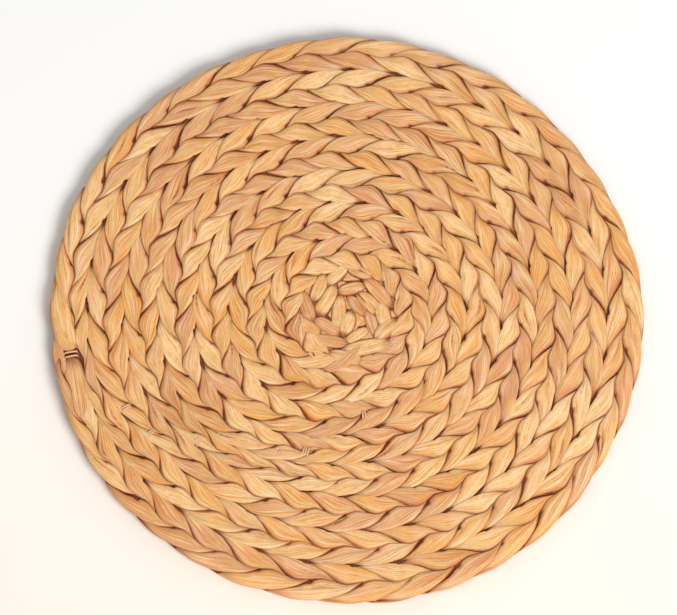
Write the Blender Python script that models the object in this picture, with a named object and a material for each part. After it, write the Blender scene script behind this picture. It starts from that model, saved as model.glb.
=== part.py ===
"""Water hyacinth charger: one flat three-strand plait, wound flat round its own start and sewn
edge to edge with thread. The mat is one solid. Its turns, the thick part of every leaf of the
plait on both faces, the sewn grooves between turns and the squeezed place where each turn steps
inward past the plait's cut end are all in its surface. Metres, +Z up, resting on Z = 0."""
import math
import random

import bpy
from mathutils import Matrix, Vector
from mathutils.geometry import delaunay_2d_cdt

MAT_RADIUS = 0.165
THICKNESS = 0.0110
PLAIT_WIDTH = 0.0198
TURNS = 8
CUT_END_DEG = 188.0            # where the outermost turn is cut off and tucked in
SEED = 11

# How deep each part of the surface lies below the crown of a leaf.
SEAM_DEPTH = 0.0040            # sewn groove between two turns
SPINE_DEPTH = 0.0019           # middle of the plait, where the strands cross
VALLEY_DEPTH = 0.0018          # between one leaf and the next
CROWN_SPREAD = 0.0004          # leaves of the upper face are not all as thick
RIM_HEIGHT = 0.5 * THICKNESS   # the outline lies at half the thickness
RIM_SCALLOP = 0.0005
CENTRE_FLAT_RADIUS = 0.0050    # the plait's start, pressed flat
CENTRE_FLAT_CORNERS = 6
SMALLEST_RADIUS = 0.0005       # where the wound edges end, short of the very centre

# Angles along the plait from its cut end, where parts of the surface start and stop.
FIRST_LEAF_RUN = 13.0
RIM_END_RUN = 356.0            # from here the outer edge is a sewn seam
SEAM_FIRST_RUN = 358.0
SEAM_LAST_RUN = 2900.0
SPINE_FIRST_RUN = 6.0
SPINE_LAST_RUN = 2850.0
LEAF_LAST_RUN = 2880.0
SQUEEZED_FLAT = 0.42           # a stretch narrower than this share of the plait shows no leaf
STEP_SAMPLING = 0.10           # plait widths moved inward between two points of a groove
WIDEST_GROOVE_DEG = 24.0       # and the widest angle between them

# Settings of Blender's triangulation: triangles inside the outline only.
INSIDE_LINES = 1
MERGE_DISTANCE = 1e-6

# Slow departures of the outline from a circle: (waves round the mat, amount, angle of one crest).
OUTLINE_WAVES = (
    {"waves": 1, "amount": 0.0013, "crest_deg": -136.0},
    {"waves": 2, "amount": 0.0011, "crest_deg": -60.0},
    {"waves": 5, "amount": 0.0006, "crest_deg": 5.0},
)

# Where the plait's outer edge steps inward by its own width, turn after turn, counted from the
# cut end. Outer turns step in a short stretch just past the cut end, inner ones wind evenly.
INWARD_STEPS = (
    {"turn": 1, "past_cut_deg": 2.0, "over_deg": 12.0, "share": 0.74},
    {"turn": 1, "past_cut_deg": 32.0, "over_deg": 50.0, "share": 0.26},
    {"turn": 2, "past_cut_deg": 18.0, "over_deg": 32.0, "share": 0.85},
    {"turn": 2, "past_cut_deg": 50.0, "over_deg": 60.0, "share": 0.15},
    {"turn": 3, "past_cut_deg": 29.0, "over_deg": 72.0, "share": 1.0},
    {"turn": 4, "past_cut_deg": 52.0, "over_deg": 84.0, "share": 1.0},
    {"turn": 5, "past_cut_deg": 60.0, "over_deg": 104.0, "share": 1.0},
    {"turn": 6, "past_cut_deg": 60.0, "over_deg": 116.0, "share": 1.0},
    {"turn": 7, "past_cut_deg": 58.0, "over_deg": 124.0, "share": 1.0},
    {"turn": 8, "past_cut_deg": 56.0, "over_deg": 136.0, "share": 1.0},
)

# Step from one leaf to the next on the same side of the plait, by distance from the centre.
LEAF_STEPS = (
    {"radius": 0.010, "step": 0.0130},
    {"radius": 0.035, "step": 0.0165},
    {"radius": 0.060, "step": 0.0200},
    {"radius": 0.090, "step": 0.0213},
    {"radius": 0.120, "step": 0.0222},
    {"radius": 0.136, "step": 0.0236},
    {"radius": 0.155, "step": 0.0268},
)
LEAF_STEP_SPREAD = 0.07        # a step is longer or shorter than that by up to this share

# The thick part of a leaf is a flat triangle. Its corners, and the low place beside it, lie so
# many leaf steps along the plait from the leaf's middle and so far out from the spine, where 1
# is the plait's edge.
NEAR_HEEL = {"along": -0.62, "across": 0.78}
FAR_HEEL = {"along": -0.16, "across": 0.80}
TIP = {"along": 0.50, "across": 0.22}
LOW_PLACE = {"along": 0.50, "across": 0.50}


def smooth_step(value):
    held = min(1.0, max(0.0, value))
    return held * held * (3.0 - 2.0 * held)


def outline_radius(angle_deg):
    radius = MAT_RADIUS
    for wave in OUTLINE_WAVES:
        turn = math.radians(angle_deg - wave["crest_deg"])
        radius += wave["amount"] * math.cos(wave["waves"] * turn)
    return radius


def widths_inward(run_deg):
    """How many plait widths the outer edge has moved in, run_deg along the plait."""
    total = 0.0
    for step in INWARD_STEPS:
        middle = 360.0 * step["turn"] + step["past_cut_deg"]
        start = middle - 0.5 * step["over_deg"]
        total += step["share"] * smooth_step((run_deg - start) / step["over_deg"])
    return total


def edge_radius(run_deg):
    """Radius of the plait's outer edge. One turn further on it is the inner edge."""
    inward = widths_inward(run_deg)
    fade = max(0.0, 1.0 - inward / TURNS)
    uneven = outline_radius(CUT_END_DEG + run_deg) - MAT_RADIUS
    return max(SMALLEST_RADIUS, MAT_RADIUS + fade * uneven - inward * PLAIT_WIDTH)


def radius_across(run_deg, across):
    """Across is +1 on the plait's outer edge, 0 along its spine and -1 on its inner edge."""
    outer = edge_radius(run_deg)
    inner = edge_radius(run_deg + 360.0)
    return 0.5 * (outer + inner) + 0.5 * across * (outer - inner)


def place(run_deg, across):
    angle = math.radians(CUT_END_DEG + run_deg)
    radius = radius_across(run_deg, across)
    return Vector((radius * math.cos(angle), radius * math.sin(angle)))


def leaf_step(radius):
    rows = LEAF_STEPS
    if radius <= rows[0]["radius"]:
        return rows[0]["step"]
    for near, far in zip(rows, rows[1:]):
        if radius <= far["radius"]:
            share = (radius - near["radius"]) / (far["radius"] - near["radius"])
            return near["step"] + share * (far["step"] - near["step"])
    return rows[-1]["step"]


def leaf_runs():
    """Run angle and angular step of every leaf on one side, from the cut end to the centre."""
    rng = random.Random(SEED)
    leaves = []
    run = FIRST_LEAF_RUN
    while run < SEAM_LAST_RUN:
        radius = radius_across(run, 0.0)
        uneven = 1.0 + rng.uniform(-LEAF_STEP_SPREAD, LEAF_STEP_SPREAD)
        step = math.degrees(leaf_step(radius) * uneven / radius)
        leaves.append((run, step))
        run += step
    return leaves


class Surface:
    """Points of one face of the mat, and the lines that its triangles must keep."""

    def __init__(self):
        self.points = []
        self.heights = []
        self.lines = []

    def add(self, point, height):
        self.points.append(point)
        self.heights.append(height)
        return len(self.points) - 1

    def join(self, chain, closed=False):
        ends = chain[1:] + chain[:1] if closed else chain[1:]
        self.lines += list(zip(chain, ends))

    def triangles(self):
        found = delaunay_2d_cdt(self.points, self.lines, [], INSIDE_LINES, MERGE_DISTANCE)
        points, _edges, faces, origins = found[:4]
        heights = []
        for point, origin in zip(points, origins):
            if not origin:
                raise ValueError(f"two lines of the surface cross at {tuple(point)}")
            heights.append(self.heights[origin[0]])
        return points, heights, faces


def add_rim(surface, leaves):
    """The scalloped outline: out over the back of each outer leaf, in where two leaves meet."""
    chain = []
    for run, step in leaves:
        if run + 0.5 * step > RIM_END_RUN:
            break
        for part, bulge in ((0.0, RIM_SCALLOP), (0.5, -RIM_SCALLOP)):
            at = run + part * step
            angle = math.radians(CUT_END_DEG + at)
            radius = edge_radius(at) + bulge
            point = Vector((radius * math.cos(angle), radius * math.sin(angle)))
            chain.append(surface.add(point, RIM_HEIGHT))
    chain.append(surface.add(place(RIM_END_RUN, 1.0), RIM_HEIGHT))
    surface.join(chain, closed=True)
    return chain[-1]


def groove_runs(leaves, first_run, last_run):
    """One place to a leaf, and more where the plait steps inward."""
    runs = []
    for run, step in leaves:
        moved = widths_inward(run + 1.5 * step) - widths_inward(run + 0.5 * step)
        places = 1 + int(max(moved / STEP_SAMPLING, step / WIDEST_GROOVE_DEG))
        for part in range(places):
            at = run + (0.5 + part / places) * step
            if first_run < at < last_run:
                runs.append(at)
    return runs


def add_groove(surface, start, runs, across, height):
    chain = [] if start is None else [start]
    for run in runs:
        chain.append(surface.add(place(run, across), height))
    surface.join(chain)


def add_leaf(surface, run, step, side, lean, crown, valley):
    """The thick part of one leaf, wide by the plait's edge and pointed by its spine, with the low
    place beside it. Lean is +1 where leaves run inward along the plait."""
    corners = []
    for corner in (NEAR_HEEL, FAR_HEEL, TIP):
        point = place(run + lean * corner["along"] * step, side * corner["across"])
        corners.append(surface.add(point, crown))
    surface.join(corners, closed=True)
    low = place(run + LOW_PLACE["along"] * step, side * LOW_PLACE["across"])
    surface.add(low, valley)


def add_centre(surface, height):
    chain = []
    for corner in range(CENTRE_FLAT_CORNERS):
        angle = 2.0 * math.pi * corner / CENTRE_FLAT_CORNERS
        direction = Vector((math.cos(angle), math.sin(angle)))
        chain.append(surface.add(CENTRE_FLAT_RADIUS * direction, height))
    surface.join(chain, closed=True)


def build_face(leaves, upper):
    """One face of the mat. Heights are measured from the crowns towards half the thickness."""
    rng = random.Random(SEED + 1)
    surface = Surface()
    crown = THICKNESS if upper else 0.0
    inward = -1.0 if upper else 1.0
    lean = 1.0 if upper else -1.0
    rim_end = add_rim(surface, leaves)
    seam_runs = groove_runs(leaves, SEAM_FIRST_RUN, SEAM_LAST_RUN)
    spine_runs = groove_runs(leaves, SPINE_FIRST_RUN, SPINE_LAST_RUN)
    add_groove(surface, rim_end, seam_runs, 1.0, crown + inward * SEAM_DEPTH)
    add_groove(surface, None, spine_runs, 0.0, crown + inward * SPINE_DEPTH)
    for run, step in leaves:
        if run > LEAF_LAST_RUN:
            break
        if edge_radius(run) - edge_radius(run + 360.0) < SQUEEZED_FLAT * PLAIT_WIDTH:
            continue
        for side in (1.0, -1.0):
            drop = rng.uniform(0.0, CROWN_SPREAD) if upper else 0.0
            start = run + (0.0 if side > 0.0 else 0.5 * step)
            add_leaf(surface, start, step, side, lean, crown + inward * drop,
                     crown + inward * VALLEY_DEPTH)
    add_centre(surface, crown)
    return surface.triangles()


def close_solid(top, bottom):
    """Join the two faces along the outline they share."""
    vertices = []
    index = {}
    faces = []

    def vertex(point, height):
        key = (round(point[0], 7), round(point[1], 7), round(height, 7))
        if key not in index:
            index[key] = len(vertices)
            vertices.append((point[0], point[1], height))
        return index[key]

    for (points, heights, triangles), flip in ((top, False), (bottom, True)):
        for triangle in triangles:
            corners = [vertex(points[i], heights[i]) for i in triangle]
            faces.append(corners[::-1] if flip else corners)
    return vertices, faces


def straw_material():
    material = bpy.data.materials.new("dried_stalk")
    material.use_nodes = True
    shader = material.node_tree.nodes["Principled BSDF"]
    shader.inputs["Base Color"].default_value = (0.60, 0.36, 0.16, 1.0)
    shader.inputs["Roughness"].default_value = 0.55
    shader.inputs["Metallic"].default_value = 0.0
    return material


def outline_centre(vertices):
    """The middle of the outline. The mat is moved so that this lies over the origin."""
    across = [vertex[0] for vertex in vertices]
    deep = [vertex[1] for vertex in vertices]
    return Vector((0.5 * (min(across) + max(across)), 0.5 * (min(deep) + max(deep)), 0.0))


def build_mat():
    leaves = leaf_runs()
    top = build_face(leaves, upper=True)
    bottom = build_face(leaves, upper=False)
    vertices, faces = close_solid(top, bottom)
    mesh = bpy.data.meshes.new("coiled_plait")
    mesh.from_pydata(vertices, [], faces)
    mesh.transform(Matrix.Translation(-outline_centre(vertices)))
    mesh.materials.append(straw_material())
    mat = bpy.data.objects.new("coiled_plait", mesh)
    bpy.context.scene.collection.objects.link(mat)
    return mat


for existing in list(bpy.data.objects):
    bpy.data.objects.remove(existing, do_unlink=True)
build_mat()
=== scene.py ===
"""Water hyacinth charger: a flat three-strand plait of dried stalks, wound flat round its own
start and sewn edge to edge with thread. Metres, +Z up, lying on Z = 0."""
import math
import random

import bmesh
import bpy
import numpy as np
from mathutils import Matrix, Vector


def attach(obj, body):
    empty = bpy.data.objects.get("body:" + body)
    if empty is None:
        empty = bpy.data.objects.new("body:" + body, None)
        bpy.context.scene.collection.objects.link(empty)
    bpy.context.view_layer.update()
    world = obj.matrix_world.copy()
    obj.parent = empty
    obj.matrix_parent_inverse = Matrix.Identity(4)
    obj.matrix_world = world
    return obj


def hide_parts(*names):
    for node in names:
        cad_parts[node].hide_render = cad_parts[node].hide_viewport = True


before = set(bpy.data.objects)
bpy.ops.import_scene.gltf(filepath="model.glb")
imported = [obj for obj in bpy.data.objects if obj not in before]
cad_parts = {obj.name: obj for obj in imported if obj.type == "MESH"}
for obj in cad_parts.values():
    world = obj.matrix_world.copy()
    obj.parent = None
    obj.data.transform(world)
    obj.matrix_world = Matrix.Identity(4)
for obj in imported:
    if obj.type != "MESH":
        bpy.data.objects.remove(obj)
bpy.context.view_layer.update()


# ---- Camera ---------------------------------------------------------------------------------
# A long lens looks down on the mat from its near side, far enough off that its far and near
# turns come out nearly as wide as each other.
VIEW_RISE_DEG = 71.0
VIEW_DISTANCE = 4.0
VIEW_WIDTH = 0.3768                       # what the picture is wide, at the mat
AIM = Vector((-0.0048, 0.0056, 0.0055))


def in_scene(name, data):
    """A new object of the scene."""
    made = bpy.data.objects.new(name, data)
    bpy.context.scene.collection.objects.link(made)
    return made


view = bpy.data.cameras.new("view")
view.sensor_width = 36.0
view.lens = view.sensor_width * VIEW_DISTANCE / VIEW_WIDTH
view.clip_end = 50.0
camera = in_scene("camera", view)
rise = math.radians(VIEW_RISE_DEG)
camera.location = AIM + VIEW_DISTANCE * Vector((0.0, -math.cos(rise), math.sin(rise)))
camera.rotation_euler = (math.pi / 2.0 - rise, 0.0, 0.0)
bpy.context.scene.camera = camera
bpy.context.scene.view_settings.view_transform = "Standard"


# ---- Floor and light ------------------------------------------------------------------------
# A pale table top, white and a little warmer towards the viewer, under a broad soft light from
# the right and a weak one from the sky all round.
class Shade:
    """A number on its way through a finish. Python's operators add the Math nodes."""

    def __init__(self, finish, socket):
        self.finish, self.socket = finish, socket

    def math(self, operation, first, second=0.0, clamp=False):
        node = self.finish.node(
            "ShaderNodeMath", {"operation": operation, "use_clamp": clamp},
            {0: first, 1: second})
        return Shade(self.finish, node.outputs[0])

    def __add__(self, other):
        return self.math("ADD", self, other)

    def __sub__(self, other):
        return self.math("SUBTRACT", self, other)

    def __rsub__(self, other):
        return self.math("SUBTRACT", other, self)

    def __mul__(self, other):
        return self.math("MULTIPLY", self, other)

    __radd__ = __add__
    __rmul__ = __mul__

    def held(self):
        """Kept between 0 and 1."""
        return self.math("ADD", self, 0.0, clamp=True)

    def above(self, low, high):
        """0 below low, 1 above high, smooth between."""
        node = self.finish.node(
            "ShaderNodeMapRange", {"interpolation_type": "SMOOTHSTEP"},
            {"Value": self, "From Min": low, "From Max": high})
        return Shade(self.finish, node.outputs[0])


class Finish:
    """One material: node() adds any node, the rest are the few that every finish here uses."""

    def __init__(self, name):
        self.material = bpy.data.materials.new(name)
        self.material.use_nodes = True
        self.tree = self.material.node_tree
        self.shader = self.tree.nodes["Principled BSDF"]

    def node(self, kind, settings=None, sockets=None):
        node = self.tree.nodes.new(kind)
        for name, value in (settings or {}).items():
            setattr(node, name, value)
        for name, value in (sockets or {}).items():
            self.feed(node.inputs[name], value)
        return node

    def feed(self, socket, value):
        if isinstance(value, Shade):
            value = value.socket
        if isinstance(value, bpy.types.NodeSocket):
            self.tree.links.new(value, socket)
        else:
            socket.default_value = value

    def mixed(self, share, first, second):
        """Two colours mixed by share."""
        node = self.node("ShaderNodeMix", {"data_type": "RGBA"}, {"Factor": share})
        self.feed(node.inputs[6], first)
        self.feed(node.inputs[7], second)
        return node.outputs[2]

    def noise(self, vector, scale, detail, rough):
        node = self.node(
            "ShaderNodeTexNoise", {"noise_dimensions": "3D"},
            {"Vector": vector, "Scale": scale, "Detail": detail, "Roughness": rough})
        return Shade(self, node.outputs["Fac"])

    def spread(self, vector, x, y, z):
        """The vector, stretched."""
        return self.node(
            "ShaderNodeVectorMath", {"operation": "MULTIPLY"},
            {0: vector, 1: (x, y, z)}).outputs[0]


def linear(red, green, blue):
    """A colour given as it looks on a screen, 0 to 255, as light."""
    return tuple(((part / 255.0 + 0.055) / 1.055) ** 2.4 for part in (red, green, blue))


FLOOR = {"half_width": 6.0, "below_mat": 0.0001, "warm_at": -0.22, "white_at": 0.12}
FLOOR_FAR = (*linear(235, 235, 235), 1.0)
FLOOR_NEAR = (*linear(233, 223, 213), 1.0)
WINDOW = {"place": (1.15, -1.60, 2.0), "size": 1.2, "power": 78.0, "colour": (1.0, 0.99, 0.97)}
ROOM = {"strength": 0.59, "colour": (1.0, 0.99, 0.97, 1.0)}

table = Finish("table_top")
place_on_table = table.node("ShaderNodeTexCoord").outputs["Object"]
forward = Shade(table, table.node(
    "ShaderNodeSeparateXYZ", None, {"Vector": place_on_table}).outputs["Y"])
table.feed(
    table.shader.inputs["Base Color"],
    table.mixed(forward.above(FLOOR["warm_at"], FLOOR["white_at"]), FLOOR_NEAR, FLOOR_FAR))
table.shader.inputs["Roughness"].default_value = 0.9

bm = bmesh.new()
bmesh.ops.create_grid(bm, x_segments=2, y_segments=2, size=FLOOR["half_width"])
floor_mesh = bpy.data.meshes.new("floor")
bm.to_mesh(floor_mesh)
bm.free()
floor_mesh.materials.append(table.material)
floor_mesh.transform(Matrix.Translation((0.0, 0.0, -FLOOR["below_mat"])))
floor = in_scene("floor", floor_mesh)

lamp = bpy.data.lights.new("window", "AREA")
lamp.shape = "SQUARE"
lamp.size, lamp.energy, lamp.color = WINDOW["size"], WINDOW["power"], WINDOW["colour"]
window = in_scene("window", lamp)
window.location = WINDOW["place"]
window.rotation_euler = Vector(WINDOW["place"]).to_track_quat("Z", "Y").to_euler()

room = bpy.data.worlds.new("room")
room.use_nodes = True
sky = room.node_tree.nodes["Background"]
sky.inputs["Color"].default_value = ROOM["colour"]
sky.inputs["Strength"].default_value = ROOM["strength"]
bpy.context.scene.world = room


# ---- Plait ----------------------------------------------------------------------------------
# Three strands of dried water hyacinth stalk, plaited flat. Each strand crosses the upper face
# from the plait's edge to its middle, dives under its neighbour there and comes back round the
# edge from below. Between two dives it shows as one puffed leaf shape, which is one shell here.
MAT_RADIUS = 0.165
PLAIT_WIDTH = 0.0198
HALF_THICKNESS = 0.0055
TURNS = 8
CUT_END_DEG = 188.0                       # where the outermost turn is cut off and tucked in
LEAF_SEED = 69
FIRST_LEAF_RUN = 13.0
LAST_LEAF_RUN = 2880.0
SMALLEST_RADIUS = 0.0005

# How far the rim strays from a circle.
OUTLINE_WAVES = (
    {"waves": 1, "amount": 0.0013, "crest_deg": -136.0},
    {"waves": 2, "amount": 0.0011, "crest_deg": -60.0},
    {"waves": 5, "amount": 0.0006, "crest_deg": 5.0},
)
# Where each turn steps inwards, by a share of the width of the plait.
INWARD_STEPS = (
    {"turn": 1, "past_cut_deg": 1.0, "over_deg": 3.0, "share": 0.74},
    {"turn": 1, "past_cut_deg": 32.0, "over_deg": 50.0, "share": 0.26},
    {"turn": 2, "past_cut_deg": 18.0, "over_deg": 32.0, "share": 0.85},
    {"turn": 2, "past_cut_deg": 50.0, "over_deg": 60.0, "share": 0.15},
    {"turn": 3, "past_cut_deg": 29.0, "over_deg": 72.0, "share": 1.0},
    {"turn": 4, "past_cut_deg": 52.0, "over_deg": 84.0, "share": 1.0},
    {"turn": 5, "past_cut_deg": 60.0, "over_deg": 104.0, "share": 1.0},
    {"turn": 6, "past_cut_deg": 60.0, "over_deg": 116.0, "share": 1.0},
    {"turn": 7, "past_cut_deg": 58.0, "over_deg": 124.0, "share": 1.0},
    {"turn": 8, "past_cut_deg": 56.0, "over_deg": 136.0, "share": 1.0},
)
# How far apart the leaves of one side lie, by their distance from the mat's middle.
LEAF_STEPS = {"radius": (0.010, 0.035, 0.060, 0.090, 0.120, 0.136, 0.155),
              "step": (0.0130, 0.0165, 0.0200, 0.0213, 0.0222, 0.0236, 0.0268)}
STEP_UNEVENNESS = (0.93, 1.07)
# The new outer turn starts narrow on its outer side. The turn before it ducks under it there.
NEW_TURN_MIDDLE = {"run": (0.0, 8.0, 17.0, 27.0), "outer_share": (0.12, 0.24, 0.39, 0.50)}
START_RUN = 1.2                           # nothing of the new outer turn lies before this
START_DRAWN_IN = {"by": 0.0034, "over": 4.0}
DUCK = {"run": 366.0, "over": 13.0, "share": 0.5, "reach": 28.0}


def smooth_step(value):
    """0 below 0, 1 above 1, smooth between."""
    held = np.clip(value, 0.0, 1.0)
    return held * held * (3.0 - 2.0 * held)


def edge_radius(run_deg):
    """Radius of the plait's outer edge, run_deg along it from the cut end."""
    inward = sum(
        step["share"] * smooth_step(
            (run_deg - 360.0 * step["turn"] - step["past_cut_deg"]) / step["over_deg"] + 0.5)
        for step in INWARD_STEPS)
    angle = np.radians(CUT_END_DEG + run_deg)
    uneven = sum(
        wave["amount"] * np.cos(wave["waves"] * (angle - math.radians(wave["crest_deg"])))
        for wave in OUTLINE_WAVES)
    fade = np.clip(1.0 - inward / TURNS, 0.0, 1.0)
    return np.maximum(SMALLEST_RADIUS, MAT_RADIUS + fade * uneven - inward * PLAIT_WIDTH)


RUNS = np.arange(-60.0, 3400.0, 0.5)
EDGE_TABLE = edge_radius(RUNS)


def edges(run_deg):
    """Radius of the plait's outer edge, of its middle line and of its inner edge."""
    outer = np.interp(run_deg, RUNS, EDGE_TABLE)
    inner = np.interp(run_deg + 360.0, RUNS, EDGE_TABLE)
    share = np.interp(run_deg, NEW_TURN_MIDDLE["run"], NEW_TURN_MIDDLE["outer_share"])
    plain = outer - share * (outer - inner)
    off = run_deg - DUCK["run"]
    pinch = 1.0 - DUCK["share"] * np.exp(-((off / DUCK["over"]) ** 2))
    ducked = inner + 0.5 * PLAIT_WIDTH * pinch
    return outer, np.where(np.abs(off) < DUCK["reach"], ducked, plain), inner


def leaf_runs():
    """Where along the plait each leaf of one side lies."""
    rng = random.Random(LEAF_SEED)
    runs, run = [], FIRST_LEAF_RUN
    while run < LAST_LEAF_RUN:
        runs.append(run)
        radius = 0.5 * (edge_radius(run) + edge_radius(run + 360.0))
        step = np.interp(radius, LEAF_STEPS["radius"], LEAF_STEPS["step"])
        run += math.degrees(step * rng.uniform(*STEP_UNEVENNESS) / radius)
    return np.array(runs)


LEAF_RUNS = leaf_runs()
LEAVES = len(LEAF_RUNS)
STEPS = np.arange(-3.0, LEAVES + 3.0, 0.05)
FIRST_STEP = LEAF_RUNS[1] - LEAF_RUNS[0]
LAST_STEP = LEAF_RUNS[-1] - LEAF_RUNS[-2]


def plain_run(step):
    """Run angle at so many leaf steps, with a new pace from each leaf on."""
    inside = np.interp(step, np.arange(LEAVES), LEAF_RUNS)
    inside = inside + np.minimum(0.0, step) * FIRST_STEP
    return inside + np.maximum(0.0, step - (LEAVES - 1)) * LAST_STEP


RUN_TABLE = np.mean([plain_run(STEPS + shift) for shift in np.linspace(-0.5, 0.5, 11)], axis=0)


def run_at(step):
    """Run angle at so many leaf steps along the plait, without a jump in its pace."""
    return np.interp(step, STEPS, RUN_TABLE)


# One shell before it is bent: a closed tube, cut in rows that follow the plait's length and in
# columns that cross it. Most columns lie on its outer face.
FACE_COLUMNS = 26
BACK_COLUMNS = 6
TOP_ROWS = 19
BASE_ROWS = 7
DIVE_ROWS = 1
REACH_ACROSS = 1.16                       # how far a shell runs on under its neighbours
REACH_MIDDLE = 1.045                      # and past the plait's middle line before it dives
REACH_DIVE = 1.18


def shell():
    """The tube's mesh, with each vertex's row and column."""
    bm = bmesh.new()
    around = FACE_COLUMNS + BACK_COLUMNS
    rows = TOP_ROWS + BASE_ROWS + 2 * DIVE_ROWS
    bmesh.ops.create_cone(
        bm, cap_ends=True, segments=around, radius1=1.0, radius2=1.0, depth=2.0)
    upright = [e for e in bm.edges if abs(e.verts[0].co.z - e.verts[1].co.z) > 1.0]
    bmesh.ops.subdivide_edges(bm, edges=upright, cuts=rows - 1)
    mesh = bpy.data.meshes.new("shell")
    bm.to_mesh(mesh)
    bm.free()
    spots = np.array([v.co for v in mesh.vertices])
    row = np.rint((spots[:, 2] + 1.0) * 0.5 * rows).astype(int)
    turn = np.arctan2(spots[:, 1], spots[:, 0]) / (2.0 * math.pi) % 1.0
    column = np.rint(turn * around).astype(int) % around
    return mesh, row, column


def turned_shell():
    """The same tube with its faces turned round."""
    bm = bmesh.new()
    bm.from_mesh(SHELL)
    bmesh.ops.reverse_faces(bm, faces=bm.faces)
    mesh = bpy.data.meshes.new("turned_shell")
    bm.to_mesh(mesh)
    bm.free()
    return mesh


SHELL, SHELL_ROW, SHELL_COLUMN = shell()
TURNED_SHELL = turned_shell()
ROW_PLACE = np.concatenate([
    [-REACH_DIVE], np.linspace(-REACH_MIDDLE, 0.0, BASE_ROWS + 1),
    np.linspace(0.0, REACH_MIDDLE, TOP_ROWS + 1)[1:], [REACH_DIVE]])
COLUMN_PLACE = np.concatenate([
    np.linspace(1.0, -1.0, FACE_COLUMNS + 1), np.linspace(-1.0, 1.0, BACK_COLUMNS + 1)[1:-1]])
COLUMN_PLACE = COLUMN_PLACE * REACH_ACROSS
ON_BACK = SHELL_COLUMN > FACE_COLUMNS
SEWN_EDGE = {"corner": 0.0026, "swell": 0.0009, "wave": 0.0016}    # against the next turn
FREE_EDGE = {"corner": 0.0050, "swell": 0.0007, "wave": 0.0008}    # the mat's own rim
DIVE = {"radius": 0.0022, "turn_deg": 70.0, "sink": 1.3}
EDGE_PACE = 0.10                          # share of a leaf's slant spent going round the edge
CREASE_DEPTH = 0.0026                     # how far a leaf's border lies below its crown
CREASE_POWER = 5.0
DEEPEST = 0.0042
BACK_DEPTH = 0.0046
SIDE_FULLNESS = 1.14                      # at 1 a leaf would end where its neighbour starts
FRONT_FULLNESS = 1.16
FRONT_REACH = 1.07
SIDE_SWELL = 0.13
NOTCH = {"deep": 0.34, "slight": 0.04, "length": 0.16, "sharpness": 0.7}
BLUNTNESS = 8.0
TIP = {"depth": 0.0011, "from": 0.5}
SHINGLE = 0.0009                          # rise of a leaf across its width, over the next leaf
MIDDLE_WAVE = 0.0014                      # how far leaves push over the plait's middle line
ZIGZAG = 0.96                             # and how sharply they take turns there
SLANT = 0.75                              # leaf steps between a leaf's edge and its tip
TOP_BLEND = 0.8                           # share of the thickness where both faces' leaves mix
RIM_FADE_DEG = 8.0                        # the free rim turns into a sewn edge over this
RIM_FULLNESS = 0.45
THINNEST = 0.3                            # a pinched leaf keeps this share of its depth
# Leaves differ by chance: place along the plait, size, height, tilt, slant and notch.
BY_CHANCE = {"stray": (-0.04, 0.04), "size": (1.05, 1.20), "lift": (-0.0008, 0.0002),
             "roll": (-0.0005, 0.0005), "lean": (-0.06, 0.06), "notch": (0.3, 1.3)}
# Folds of each kind across a leaf, from the fewest to the most, and how deep they are.
FOLDS = (
    {"fewest": 0.7, "most": 2.1, "slight": 0.00003, "strong": 0.00024},
    {"fewest": 0.7, "most": 2.1, "slight": 0.00003, "strong": 0.00024},
    {"fewest": 1.2, "most": 2.4, "slight": 0.00003, "strong": 0.00018},
    {"fewest": 3.0, "most": 4.6, "slight": 0.00002, "strong": 0.00010},
)
SPLIT = {"share": 0.13, "depth": 0.0012, "length": 0.65, "width": 0.085}


def plait_section(way, half_width, corner):
    """Point and outward direction on half the plait's section: 0 at its edge, 1 at its middle."""
    up = HALF_THICKNESS - corner
    bend = 0.5 * math.pi * corner
    flat = half_width - corner
    gone = np.clip(way, 0.0, REACH_MIDDLE) * (up + bend + flat)
    turn = np.clip((gone - up) / corner, 0.0, 0.5 * math.pi)
    across = half_width - corner + corner * np.cos(turn) - np.maximum(0.0, gone - up - bend)
    height = np.minimum(gone, up) + corner * np.sin(turn)
    out_across, out_up = np.cos(turn), np.sin(turn)
    dive = np.clip((way - REACH_MIDDLE) / (REACH_DIVE - REACH_MIDDLE), 0.0, 1.0)
    dive = dive * math.radians(DIVE["turn_deg"])
    across = across - DIVE["radius"] * np.sin(dive)
    height = height - DIVE["sink"] * DIVE["radius"] * (1.0 - np.cos(dive))
    out_across = np.where(dive > 0.0, -np.sin(dive), out_across)
    out_up = np.where(dive > 0.0, np.cos(dive), out_up)
    return across, height, out_across, out_up


def leaf_depth(along, beside, size, notches):
    """How far below its crown a leaf's face lies. along runs from tip to tip, -1 to 1, and
    beside from one blunt corner to the other. Also how near the leaf's own border it is."""
    next_leaf = along * beside > 0.0                   # that side lies against a neighbour leaf
    fullness = np.where(next_leaf, SIDE_FULLNESS, FRONT_FULLNESS)
    reach = np.where(along > 0.0, FRONT_REACH, 1.0)
    taper = fullness * np.clip(reach - np.abs(along), 0.002, 1.0)
    width = (size ** -BLUNTNESS + taper ** -BLUNTNESS) ** (-1.0 / BLUNTNESS)
    # The side away from the cut end swells over the next leaf, which is hollow to take it.
    bow = np.sign(along) * SIDE_SWELL * np.sin(math.pi * np.clip(along, -1.0, 1.0)) ** 2
    # Towards a blunt corner it draws away from its neighbour and leaves a narrow wedge open.
    notch = np.where(beside < 0.0, notches[0], notches[1]) * smooth_step(
        1.0 - np.abs(along) / NOTCH["length"]) ** NOTCH["sharpness"]
    border = beside / (width * (1.0 + np.where(next_leaf, bow, 0.0)))
    near = np.minimum(np.abs(border) * (1.0 + np.where(next_leaf, notch, 0.0)), 2.0)
    tip = smooth_step((np.abs(along) - TIP["from"]) / (1.0 - TIP["from"]))
    return CREASE_DEPTH * near ** CREASE_POWER + TIP["depth"] * tip, border


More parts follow.
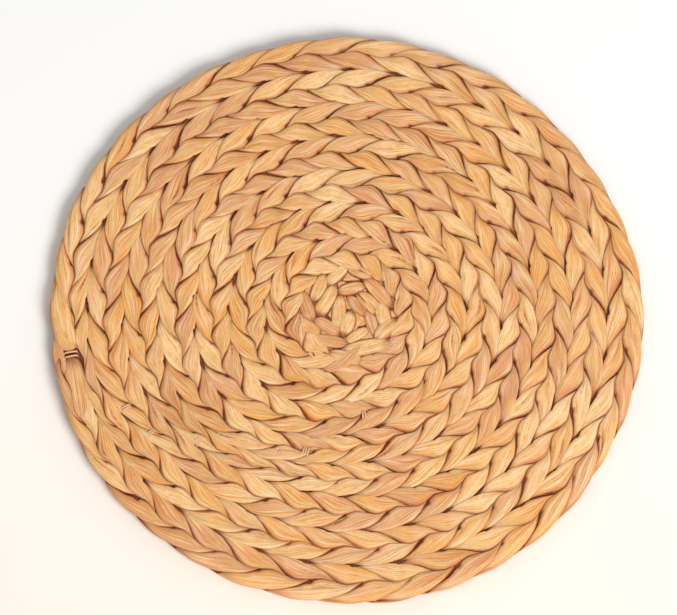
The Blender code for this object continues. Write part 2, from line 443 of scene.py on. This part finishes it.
def folds(border, along, rng, count):
    """Lengthwise folds, ribs and a few splits of dried stalk."""
    depth = np.zeros_like(border)
    for kind in FOLDS:
        waves = rng.uniform(kind["fewest"], kind["most"], (count, 1))
        start = rng.uniform(0.0, 2.0 * math.pi, (count, 1))
        drift = rng.uniform(-0.9, 0.9, (count, 1))
        amount = rng.uniform(kind["slight"], kind["strong"], (count, 1))
        fold = np.abs(np.sin(math.pi * waves * border + start + drift * along))
        depth += amount * (1.0 - fold) ** 3
    depth *= np.clip(1.2 - np.abs(along), 0.0, 1.0)
    split = np.where(rng.uniform(0.0, 1.0, (count, 1)) < SPLIT["share"], SPLIT["depth"], 0.0)
    place = rng.uniform(-0.5, 0.5, (count, 1)) + rng.uniform(-0.2, 0.2, (count, 1)) * along
    middle = rng.uniform(-0.5, 0.5, (count, 1))
    length = smooth_step(1.0 - np.abs(along - middle) / SPLIT["length"])
    return depth + split * length * np.exp(-(((border - place) / SPLIT["width"]) ** 2))


def bent_leaves(leaves, rng):
    """Every vertex of the given leaves, (step, side) each, and what the finish reads there."""
    count = len(leaves)
    step = np.array([leaf[0] for leaf in leaves])[:, None]
    side = np.array([leaf[1] for leaf in leaves])[:, None]
    chance = {part: rng.uniform(*reach, (count, 1)) for part, reach in BY_CHANCE.items()}
    notches = (np.where(side > 0.0, NOTCH["deep"], NOTCH["slight"]) * chance["notch"],
               np.where(side > 0.0, NOTCH["slight"], NOTCH["deep"]) * chance["notch"])

    outer, middle, inner = edges(run_at(step))
    plain_half = np.maximum(0.0012, np.where(side > 0.0, outer - middle, middle - inner))
    free = smooth_step((360.0 - run_at(step)) / RIM_FADE_DEG) * (side > 0.0)
    swell, corner, wave = (
        (1.0 - free) * SEWN_EDGE[part] + free * FREE_EDGE[part]
        for part in ("swell", "corner", "wave"))
    half_width = plain_half + swell
    corner = np.minimum(corner, 0.7 * half_width)
    row, column = ROW_PLACE[SHELL_ROW][None, :], COLUMN_PLACE[SHELL_COLUMN][None, :]
    way = np.abs(row)
    up = np.sign(row)
    across, height, out_across, out_up = plait_section(way, half_width, corner)
    inward = 1.0 - across / half_width                 # 0 at the edge, 1 at the middle
    slant = SLANT * ((1.0 - EDGE_PACE) * inward + EDGE_PACE * height / HALF_THICKNESS)
    at_step = step + chance["stray"] + up * slant - 0.5 * column
    run = run_at(at_step)
    run = np.where(step < 2.0, START_RUN + np.logaddexp(0.0, run - START_RUN), run)

    top_share = smooth_step(0.5 + up * height / HALF_THICKNESS / TOP_BLEND)
    upstream = 0.5 * (1.0 - column)
    faces = []
    for share, near_side in ((top_share, upstream), (1.0 - top_share, 1.0 - upstream)):
        along = inward + near_side - 1.0
        beside = near_side - inward + chance["lean"]
        depth, border = leaf_depth(along, beside, chance["size"], notches)
        depth = depth - SHINGLE * np.clip(near_side - 0.5, -0.5, 0.5)
        faces.append((share, along, border, depth, beside))
    along, border, depth, beside = (
        sum(face[0] * face[part] for face in faces) for part in (1, 2, 3, 4))

    depth = depth * (1.0 - RIM_FULLNESS * free * np.clip(1.0 - inward, 0.0, 1.0) ** 3)
    depth = depth + folds(border, along, rng, count)
    total = depth - chance["lift"] - chance["roll"] * np.clip(beside, -1.0, 1.0)
    total = np.where(total > 0.0, DEEPEST * np.tanh(total / DEEPEST), total)
    narrow = np.clip(half_width / (0.5 * PLAIT_WIDTH), THINNEST, 1.0)
    total = np.where(ON_BACK[None, :], BACK_DEPTH * narrow, total * narrow)
    across = across - out_across * total
    height = np.maximum(up * (height - out_up * total), -HALF_THICKNESS)

    outer, middle, inner = edges(run)
    zigzag = np.arcsin(ZIGZAG * np.cos(2.0 * math.pi * at_step)) / math.asin(ZIGZAG)
    push = MIDDLE_WAVE * zigzag * up * np.clip(inward, 0.0, 1.2) ** 2
    bulge = 0.5 + 0.5 * np.cos(math.pi * np.clip(column, -1.0, 1.0))
    push = push + side * wave * bulge * np.clip(1.0 - inward, 0.0, 1.0) ** 2
    scale = np.where(side > 0.0, outer - middle, middle - inner) / plain_half
    drawn_in = START_DRAWN_IN["by"] * np.exp(-np.maximum(0.0, run) / START_DRAWN_IN["over"])
    push = push - np.where(step < 2.0, drawn_in, 0.0)
    radius = middle + side * across * np.maximum(scale, 0.0) + push
    angle = np.radians(CUT_END_DEG + run)
    spots = np.stack([
        radius * np.cos(angle), radius * np.sin(angle), HALF_THICKNESS + height], axis=-1)
    return spots, along, border, depth


LOTS = 97                                 # so many different patterns of fibres


def join_shells(name, spots, along, border, depth, tone, blush, mirrored):
    """One object of many bent shells, with the maps that its finish reads. Where the bending
    mirrors a shell, its faces are turned round first, so that they point outwards again."""
    count = len(spots)
    bm = bmesh.new()
    for turned in mirrored:
        bm.from_mesh(TURNED_SHELL if turned else SHELL)
    mesh = bpy.data.meshes.new(name)
    bm.to_mesh(mesh)
    bm.free()
    mesh.vertices.foreach_set("co", spots.astype(np.float32).ravel())
    mesh.shade_smooth()
    piece = in_scene(name, mesh)

    number = np.repeat(np.arange(count), len(SHELL_ROW))
    for key, value in {
        "along": along.ravel(), "border": border.ravel(), "depth": depth.ravel() / CREASE_DEPTH,
        "tone": tone[number], "blush": blush[number], "lot": number % LOTS,
    }.items():
        layer = mesh.attributes.new(key, "FLOAT", "POINT")
        layer.data.foreach_set("value", np.asarray(value, np.float32))
    piece.data.materials.append(stalk.material)
    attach(piece, "root")
    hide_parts("coiled_plait")
    return piece


def outline_centre():
    """The middle of the box round the mat's outline, which lies over the origin."""
    runs = np.linspace(0.0, 360.0, 721)
    radius, angle = edge_radius(runs), np.radians(CUT_END_DEG + runs)
    x, y = radius * np.cos(angle), radius * np.sin(angle)
    return Vector((0.5 * (x.min() + x.max()), 0.5 * (y.min() + y.max()), 0.0))


stalk = Finish("dried_stalk")


def attribute(finish, name):
    node = finish.node("ShaderNodeAttribute", {"attribute_name": name})
    return Shade(finish, node.outputs["Fac"])


leaf_along, leaf_border = attribute(stalk, "along"), attribute(stalk, "border")
sunk = attribute(stalk, "depth")
leaf_tone, leaf_blush, lot = (attribute(stalk, name) for name in ("tone", "blush", "lot"))
fibre_place = stalk.node(
    "ShaderNodeCombineXYZ", None, {"X": leaf_along * 21.0, "Y": leaf_border * 5.0,
                                   "Z": lot * 7.3}).outputs[0]
fine = stalk.noise(stalk.spread(fibre_place, 0.04, 4.6, 1.0), 1.0, 4.0, 0.65)
coarse = stalk.noise(stalk.spread(fibre_place, 0.04, 0.6, 1.0), 1.0, 2.0, 0.5)
blotch = stalk.noise(stalk.spread(fibre_place, 0.14, 0.28, 1.0), 1.0, 3.0, 0.55)
patch = stalk.noise(stalk.spread(fibre_place, 0.10, 0.20, 1.3), 1.0, 2.0, 0.5)

PALE = (*linear(255, 233, 198), 1.0)
STRAW = (*linear(248, 202, 140), 1.0)
GOLD = (*linear(234, 169, 88), 1.0)
OLIVE = (*linear(220, 180, 98), 1.0)
PINK_BROWN = (*linear(218, 154, 108), 1.0)
ORANGE = (*linear(232, 146, 66), 1.0)
STREAK_AND_CREASE_SHADE = (*linear(186, 90, 22), 1.0)
WEATHERED = (*linear(200, 132, 78), 1.0)
CREASE_SHADE = (*linear(118, 36, 0), 1.0)

colour = stalk.mixed(leaf_tone.above(0.0, 1.0), GOLD, STRAW)
colour = stalk.mixed(leaf_blush.above(0.50, 1.0) * 0.85, colour, PINK_BROWN)
weathering = stalk.node(
    "ShaderNodeTexWhiteNoise", {"noise_dimensions": "1D"}, {"W": lot}).outputs["Value"]
colour = stalk.mixed(Shade(stalk, weathering).above(0.45, 1.0) * 0.62, colour, WEATHERED)
colour = stalk.mixed(patch.above(0.48, 0.64) * 0.55, colour, OLIVE)
colour = stalk.mixed(blotch.above(0.50, 0.68) * 0.48, colour, ORANGE)
colour = stalk.mixed(blotch.above(0.47, 0.33) * 0.38, colour, PINK_BROWN)
colour = stalk.mixed(coarse.above(0.50, 0.66) * 0.30, colour, PALE)
colour = stalk.mixed(fine.above(0.50, 0.61) * 0.44, colour, PALE)
colour = stalk.mixed(fine.above(0.49, 0.37) * 0.68, colour, STREAK_AND_CREASE_SHADE)
# Painted shade: the deeper a point lies in a crease, the browner it is coloured, first in streak
# brown and then in a dark crease-shade brown, a little less where the blotches are.
colour = stalk.mixed(sunk.above(0.03, 0.50) * 0.38, colour, STREAK_AND_CREASE_SHADE)
colour = stalk.mixed(sunk.above(0.10, 0.74) * (0.98 - 0.4 * blotch.above(0.47, 0.62)),
                     colour, CREASE_SHADE)
stalk.feed(stalk.shader.inputs["Base Color"], colour)
stalk.feed(stalk.shader.inputs["Roughness"], 0.34 + 0.24 * fine)
stalk.shader.inputs["Specular IOR Level"].default_value = 0.25
stalk.shader.inputs["Subsurface Weight"].default_value = 0.15
stalk.shader.inputs["Subsurface Radius"].default_value = (1.0, 0.45, 0.18)
stalk.shader.inputs["Subsurface Scale"].default_value = 0.0018
fibre_relief = stalk.node(
    "ShaderNodeBump", None, {"Strength": 1.0, "Distance": 0.0005, "Height": fine * 1.1 + coarse})
stalk.feed(stalk.shader.inputs["Normal"], fibre_relief.outputs[0])

TUCKED_RUNS = (352.0, 362.0)              # the cut end takes the place of the outer leaf here
LAST_OUTER_RUN = 2612.0                   # inside these the start of the plait is laid from listed leaves
LAST_INNER_RUN = 2555.0

leaf_rng = np.random.default_rng(7)
all_leaves = []
for k in range(-1, LEAVES):
    run = float(run_at(k))
    if run < LAST_OUTER_RUN and not TUCKED_RUNS[0] < run < TUCKED_RUNS[1]:
        all_leaves.append((float(k), 1.0))
    if run < LAST_INNER_RUN:
        all_leaves.append((k + 0.5, -1.0))
all_leaves.sort()
strands = {}
for order, leaf in enumerate(all_leaves):
    strands.setdefault((order % 3, order * 2 // len(all_leaves)), []).append(leaf)
centre = outline_centre()
for (strand, half), leaves in sorted(strands.items()):
    name = "strand_%d_%s" % (strand + 1, ("outer", "inner")[half])
    spots, along, border, depth = bent_leaves(leaves, leaf_rng)
    tone = leaf_rng.uniform(0.0, 1.0, len(leaves))
    blush = leaf_rng.uniform(0.0, 1.0, len(leaves))
    blush[[leaf[0] < -0.6 for leaf in leaves]] = 1.0   # the tucked start of the outer turn
    mirrored = [leaf[1] < 0.0 for leaf in leaves]      # those of the plait's inner side
    piece = join_shells(name, spots, along, border, depth, tone, blush, mirrored)
    piece.data.transform(Matrix.Translation(-centre))


# ---- Covered strands ------------------------------------------------------------------------
# Under the leaves of both faces the strands run on, pressed against each other. They show only
# as the brown floor of the deepest creases, so one thin layer stands for all of them. That dark
# brown is painted shade, the shadow down in those creases.
CORE = {"top": 0.0086, "bottom": 0.0024, "back_from_rim": 0.0042, "corners": 144}
husk = Finish("covered_stalk_in_shade")
husk_place = husk.node("ShaderNodeTexCoord").outputs["Object"]
husk_grain = husk.noise(husk_place, 700.0, 3.0, 0.6)
# Painted shade: two dark browns of the shadow deep in the creases, mixed by the grain.
HUSK_SHADE_DEEP = (*linear(76, 30, 4), 1.0)
HUSK_SHADE_SOFT = (*linear(136, 66, 20), 1.0)
husk_shade_colour = husk.mixed(husk_grain.above(0.35, 0.65), HUSK_SHADE_DEEP, HUSK_SHADE_SOFT)
husk.feed(husk.shader.inputs["Base Color"], husk_shade_colour)
husk.feed(husk.shader.inputs["Roughness"], 0.6 + 0.2 * husk_grain)
husk_bump = husk.node(
    "ShaderNodeBump", None, {"Strength": 0.6, "Distance": 0.0005, "Height": husk_grain})
husk.feed(husk.shader.inputs["Normal"], husk_bump.outputs[0])

bm = bmesh.new()
bmesh.ops.create_cone(
    bm, cap_ends=True, segments=CORE["corners"], radius1=1.0, radius2=1.0,
    depth=CORE["top"] - CORE["bottom"])
bmesh.ops.translate(bm, verts=bm.verts, vec=(0.0, 0.0, 0.5 * (CORE["top"] + CORE["bottom"])))
for v in bm.verts:
    run = (math.degrees(math.atan2(v.co.y, v.co.x)) - CUT_END_DEG) % 360.0
    radius = float(edge_radius(run)) - CORE["back_from_rim"]
    v.co.x, v.co.y = radius * v.co.x - centre.x, radius * v.co.y - centre.y
core_mesh = bpy.data.meshes.new("covered_strands")
bm.to_mesh(core_mesh)
bm.free()
core_mesh.materials.append(husk.material)
core = in_scene("covered_strands", core_mesh)
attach(core, "root")
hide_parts("coiled_plait")


# ---- Both ends of the plait -----------------------------------------------------------------
# The plait starts in the middle of the mat with a knot of short leaves pressed flat, ringed by
# the first leaves of the plait. It ends at the rim, where its last leaves are tucked down.
LAID_SHADE = 1.75                         # painted shade along these leaves' borders is this much stronger
LAID_TAPER = {"tip": 0.99, "power": 2.0, "blunt_power": 12.0, "fullness": 0.85}
LAID_TIP_FROM = 0.4
LAID_CREASE = 0.4                         # how much deeper their borders lie
LOWEST = 0.1                              # mm above the table


def laid_leaves(rows, rng, flip=0.0):
    """Leaves laid one by one, each from tip to tip. Rows give the tips in mm from the mat's
    middle, the width, how far the leaf bows aside, how high its crown lies, how much more it
    rises to its left side, how blunt its end is and how much of the painted shade along its
    borders is left out. A flip of 1 lays the rows on the underside where they are, and -1
    mirrors them on it."""
    count = len(rows)
    start, end = (np.array([row[key] for row in rows], float) for key in ("start", "end"))
    width, bow, top, blunt, rise, pale = (
        np.array([row.get(key, 0.0) for row in rows])[:, None]
        for key in ("width", "bow", "top", "blunt", "rise", "pale"))
    rows_round = SHELL_ROW.max()
    along = (2.0 * SHELL_ROW / rows_round - 1.0)[None, :] * np.ones((count, 1))
    border = (COLUMN_PLACE[SHELL_COLUMN] / REACH_ACROSS)[None, :] * np.ones((count, 1))
    power = LAID_TAPER["power"] + LAID_TAPER["blunt_power"] * blunt * (along > 0.0)
    taper = (1.0 - np.abs(LAID_TAPER["tip"] * along) ** power) ** LAID_TAPER["fullness"]
    half = 0.5 * width * taper
    direction = end - start
    length = np.linalg.norm(direction, axis=1, keepdims=True)
    direction = direction / length
    aside = np.stack([-direction[:, 1], direction[:, 0]], axis=-1)
    reach = 0.5 * (along + 1.0) * length
    offset = half * border + bow * (1.0 - along ** 2)
    x = start[:, :1] + reach * direction[:, :1] + offset * aside[:, :1]
    y = start[:, 1:] + reach * direction[:, 1:] + offset * aside[:, 1:]
    crease = CREASE_DEPTH * np.abs(border) ** CREASE_POWER
    tip = smooth_step((np.abs(along) - LAID_TIP_FROM) / (1.0 - LAID_TIP_FROM))
    depth = crease + TIP["depth"] * tip
    depth = depth + folds(border, along, rng, count)
    lying = 1000.0 * np.where(ON_BACK[None, :], BACK_DEPTH, depth + LAID_CREASE * crease)
    z = np.maximum(LOWEST, top + rise * border - lying)
    if flip:
        x, z = flip * x, 1000.0 * 2.0 * HALF_THICKNESS - z
    # Painted shade: the finish browns a leaf where this depth is large, so it is made stronger
    # here and cut back by pale.
    shade = LAID_SHADE * (1.0 - pale)
    return 0.001 * np.stack([x, y, z], axis=-1), along, border, shade * depth


# The knot of leaves that the plait starts with. Both faces show them.
PLAIT_START = (
    {"start": (-5.5, 20.0), "end": (-17.8, -2.2), "width": 11.0, "bow": 0.6, "top": 10.9,
     "tone": 0.7, "blush": 0.1, "blunt": 0.5},
    {"start": (-11.5, 26.5), "end": (-20.8, 5.8), "width": 10.6, "bow": 0.8, "top": 10.6,
     "tone": 0.5, "blush": 0.1, "blunt": 0.0},
    {"start": (-26.8, 17.0), "end": (-18.0, -6.0), "width": 10.8, "bow": -0.4, "top": 10.3,
     "tone": 0.3, "blush": 0.9, "blunt": 0.2},
    {"start": (-30.5, -1.0), "end": (-13.0, -14.6), "width": 11.0, "bow": 0.5, "top": 10.4,
     "tone": 0.5, "blush": 0.3, "blunt": 0.0},
    {"start": (-20.6, 0.4), "end": (-1.6, -12.6), "width": 10.0, "bow": -0.5, "top": 10.1,
     "tone": 0.2, "blush": 0.95, "blunt": 0.3},
    {"start": (-3.4, 14.8), "end": (-5.0, -12.6), "width": 11.0, "bow": -0.4, "top": 10.2,
     "tone": 0.6, "blush": 0.5, "blunt": 0.3},
    {"start": (-1.6, 12.4), "end": (11.6, -2.4), "width": 9.6, "bow": 0.8, "top": 10.0,
     "tone": 0.3, "blush": 0.85, "blunt": 0.0},
    {"start": (2.6, 3.8), "end": (-2.4, -13.8), "width": 12.0, "bow": -0.3, "top": 10.5,
     "tone": 0.9, "blush": 0.2, "blunt": 0.0},
    {"start": (10.0, 7.2), "end": (16.4, -15.6), "width": 9.4, "bow": 0.4, "top": 9.8,
     "tone": 0.2, "blush": 1.0, "blunt": 0.0},
    {"start": (16.8, 10.0), "end": (21.4, -8.6), "width": 10.8, "bow": 0.6, "top": 10.6,
     "tone": 0.6, "blush": 0.15, "blunt": 0.2},
    {"start": (3.6, 14.4), "end": (18.6, -0.8), "width": 11.2, "bow": 1.0, "top": 10.7,
     "tone": 0.5, "blush": 0.2, "blunt": 0.4},
    {"start": (-7.4, 12.8), "end": (12.6, 17.4), "width": 9.4, "bow": 0.6, "top": 10.4,
     "tone": 0.7, "blush": 0.8, "blunt": 0.0},
    {"start": (7.4, 23.4), "end": (26.2, 2.2), "width": 11.4, "bow": 0.8, "top": 10.8,
     "tone": 0.4, "blush": 0.8, "blunt": 0.0},
    {"start": (-2.6, 29.0), "end": (16.6, 20.8), "width": 9.6, "bow": 0.4, "top": 10.7,
     "tone": 0.6, "blush": 0.1, "blunt": 0.0},
    {"start": (2.0, 30.4), "end": (-13.2, 15.8), "width": 9.6, "bow": -0.4, "top": 10.8,
     "tone": 0.9, "blush": 0.2, "blunt": 0.0},
    {"start": (28.8, -1.2), "end": (14.0, -16.8), "width": 11.4, "bow": -0.6, "top": 10.6,
     "tone": 0.4, "blush": 0.6, "blunt": 0.0},
    {"start": (14.4, -7.0), "end": (-3.0, -17.6), "width": 8.6, "bow": -0.4, "top": 10.1,
     "tone": 0.6, "blush": 0.1, "blunt": 0.0},
    {"start": (-24.0, -13.6), "end": (4.4, -18.0), "width": 10.0, "bow": 0.4, "top": 10.3,
     "tone": 0.4, "blush": 0.75, "blunt": 0.0},
    {"start": (-6.4, -21.6), "end": (26.8, -15.0), "width": 12.0, "bow": -1.0, "top": 10.9,
     "tone": 0.9, "blush": 0.05, "blunt": 0.0},
    {"start": (-13.6, -21.4), "end": (12.4, -28.6), "width": 11.0, "bow": -0.4, "top": 10.6,
     "tone": 0.7, "blush": 0.1, "blunt": 0.0},
    {"start": (-24.0, -13.4), "end": (-8.0, -34.0), "width": 10.6, "bow": -0.4, "top": 10.4,
     "tone": 0.6, "blush": 0.4, "blunt": 0.0},
)
# The last leaf of the outermost turn, the leaf tucked under it, and the first one after it.
PLAIT_END = (
    {"start": (-161.4, 18.4), "end": (-153.9, -21.4), "width": 13.0, "bow": -1.0, "top": 11.3,
     "tone": 0.6, "blush": 0.1, "blunt": 1.0, "pale": 0.7},
    {"start": (-162.6, -11.6), "end": (-155.4, -40.0), "width": 8.0, "bow": -0.4, "top": 9.6,
     "rise": 0.9, "tone": 0.2, "blush": 0.8, "pale": 0.7},
    {"start": (-146.0, -69.0), "end": (-153.4, -24.6), "width": 14.0, "bow": -0.6, "top": 10.6,
     "tone": 0.9, "blush": 0.1, "blunt": 1.0, "pale": 0.4},
)
# The two long leaves that cover the cut end on the underside.
UNDER_END = (
    {"start": (-158.2, 15.0), "end": (-150.8, -42.0), "width": 14.0, "bow": -1.6, "top": 10.9,
     "tone": 0.5, "blush": 0.3, "pale": 0.3},
    {"start": (-154.0, 8.0), "end": (-147.6, -37.0), "width": 11.0, "bow": -1.2, "top": 10.4,
     "tone": 0.3, "blush": 0.6, "blunt": 0.5},
)
# Rings of leaves lower down, which close the gaps between those of the plait's start.
UNDER_LEAVES = (
    {"number": 6, "radius": 8.5, "top": 9.1, "width": 12.5, "span_deg": 100.0},
    {"number": 9, "radius": 17.5, "top": 9.2, "width": 12.5, "span_deg": 66.0},
    {"number": 12, "radius": 24.5, "top": 9.0, "width": 12.5, "span_deg": 48.0},
)
UNDER_SLANT = 1.5


def around(radius, angle_deg):
    """A point so far from the mat's middle, in the direction of the angle."""
    angle = math.radians(angle_deg)
    return (radius * math.cos(angle), radius * math.sin(angle))


under = tuple(
    {"start": around(ring["radius"] + UNDER_SLANT, 360.0 * part / ring["number"]),
     "end": around(
         ring["radius"] - UNDER_SLANT, 360.0 * part / ring["number"] + ring["span_deg"]),
     "width": ring["width"], "bow": -2.0, "top": ring["top"], "tone": 0.3, "blush": 0.8}
    for ring in UNDER_LEAVES for part in range(ring["number"]))
for name, upper, lower, flip in (
        ("plait_start", PLAIT_START + under, PLAIT_START + under, -1.0),
        ("plait_end", PLAIT_END, UNDER_END, 1.0)):
    laid = [laid_leaves(upper, leaf_rng), laid_leaves(lower, leaf_rng, flip)]
    spots, along, border, depth = (np.concatenate(maps) for maps in zip(*laid))
    tone, blush = (np.array([row[key] for row in upper + lower]) for key in ("tone", "blush"))
    mirrored = [False] * len(upper) + [flip > 0.0] * len(lower)
    join_shells(name, spots, along, border, depth, tone, blush, mirrored)


# ---- Sewing thread --------------------------------------------------------------------------
# Two or three turns of thin twisted thread, drawn tight across the seam from one turn to the
# next. Most of it sinks between the leaves, and it shows where it crosses a seam in the open.
THREAD = {"radius": 0.00052, "apart": 0.0013, "rows": 10, "round": 8, "skew": 0.12,
          "height": 0.0100, "arch": 0.0007, "sink": 0.0030, "sinks_from": 0.7, "twists": 5.0}
STITCHES = (
    {"past_cut_deg": 0.7, "radius": 0.1550, "length": 0.0090, "threads": 2, "apart": 0.0025},
    {"past_cut_deg": 16.0, "radius": 0.1340, "length": 0.0072, "threads": 2},
    {"past_cut_deg": 24.5, "radius": 0.1290, "length": 0.0060, "threads": 2},
    {"past_cut_deg": 34.0, "radius": 0.1110, "length": 0.0066, "threads": 3},
    {"past_cut_deg": 43.5, "radius": 0.1080, "length": 0.0060, "threads": 2},
    {"past_cut_deg": 57.5, "radius": 0.0890, "length": 0.0060, "threads": 2},
    {"past_cut_deg": 66.0, "radius": 0.0830, "length": 0.0060, "threads": 3},
    {"past_cut_deg": 79.0, "radius": 0.0660, "length": 0.0056, "threads": 2},
    {"past_cut_deg": 91.0, "radius": 0.0590, "length": 0.0056, "threads": 2},
    {"past_cut_deg": 135.0, "radius": 0.0306, "length": 0.0064, "threads": 3},
)
thread = Finish("sewing_thread")
twist = attribute(thread, "wound") * (2.0 * math.pi)
twist = twist.math("SINE", twist) * 0.5 + 0.5
fluff = thread.noise(thread.node("ShaderNodeTexCoord").outputs["Object"], 900.0, 2.0, 0.6)
THREAD_LIGHT = (*linear(232, 194, 154), 1.0)
THREAD_DARK = (*linear(188, 134, 92), 1.0)
thread_colour = thread.mixed((twist * 0.6 + fluff * 0.5).held(), THREAD_DARK, THREAD_LIGHT)
thread.feed(thread.shader.inputs["Base Color"], thread_colour)
thread.feed(thread.shader.inputs["Roughness"], 0.55 + 0.2 * fluff)
thread_bump = thread.node(
    "ShaderNodeBump", None, {"Strength": 0.5, "Distance": 0.0002, "Height": twist + 0.5 * fluff})
thread.feed(thread.shader.inputs["Normal"], thread_bump.outputs[0])


def straight_thread():
    """A thread's mesh along X, 1 long to each side of its middle, and its vertices' places."""
    bm = bmesh.new()
    bmesh.ops.create_cone(
        bm, cap_ends=True, segments=THREAD["round"], radius1=THREAD["radius"],
        radius2=THREAD["radius"], depth=2.0, matrix=Matrix.Rotation(0.5 * math.pi, 4, "Y"))
    lengthwise = [e for e in bm.edges if abs(e.verts[0].co.x - e.verts[1].co.x) > 1.0]
    bmesh.ops.subdivide_edges(bm, edges=lengthwise, cuts=THREAD["rows"] - 1)
    mesh = bpy.data.meshes.new("thread")
    bm.to_mesh(mesh)
    bm.free()
    return mesh, np.array([v.co for v in mesh.vertices]).T


def thread_height(along):
    """Height of a thread's middle, which lies over the seam and sinks at both ends."""
    sunk_end = smooth_step((np.abs(along) - THREAD["sinks_from"]) / (1.0 - THREAD["sinks_from"]))
    return THREAD["height"] + THREAD["arch"] * (1.0 - along ** 2) - THREAD["sink"] * sunk_end


thread_rng = random.Random(5)
straight, (thread_along, thread_aside, thread_up) = straight_thread()
sewing = bmesh.new()
spots = []
for stitch in STITCHES:
    angle = math.radians(CUT_END_DEG + stitch["past_cut_deg"])
    apart = stitch.get("apart", THREAD["apart"])
    for strand in range(stitch["threads"]):
        sewing.from_mesh(straight)
        offset = (strand - 0.5 * (stitch["threads"] - 1)) * apart
        skew = thread_rng.uniform(-THREAD["skew"], THREAD["skew"])
        reach = 0.5 * stitch["length"] * thread_along
        aside = thread_aside + offset + skew * reach
        radius = stitch["radius"] + reach
        spots.append(np.stack([
            radius * math.cos(angle) - aside * math.sin(angle),
            radius * math.sin(angle) + aside * math.cos(angle),
            thread_up + thread_height(thread_along)], axis=-1))
thread_mesh = bpy.data.meshes.new("sewing_thread")
sewing.to_mesh(thread_mesh)
sewing.free()
thread_mesh.vertices.foreach_set("co", np.array(spots, np.float32).ravel())
turn = np.arctan2(thread_up, thread_aside) / (2.0 * math.pi)
layer = thread_mesh.attributes.new("wound", "FLOAT", "POINT")
layer.data.foreach_set("value", np.tile(
    THREAD["twists"] * thread_along + turn, len(spots)).astype(np.float32))
thread_mesh.shade_smooth()
thread_mesh.materials.append(thread.material)
thread_piece = in_scene("sewing_thread", thread_mesh)
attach(thread_piece, "root")
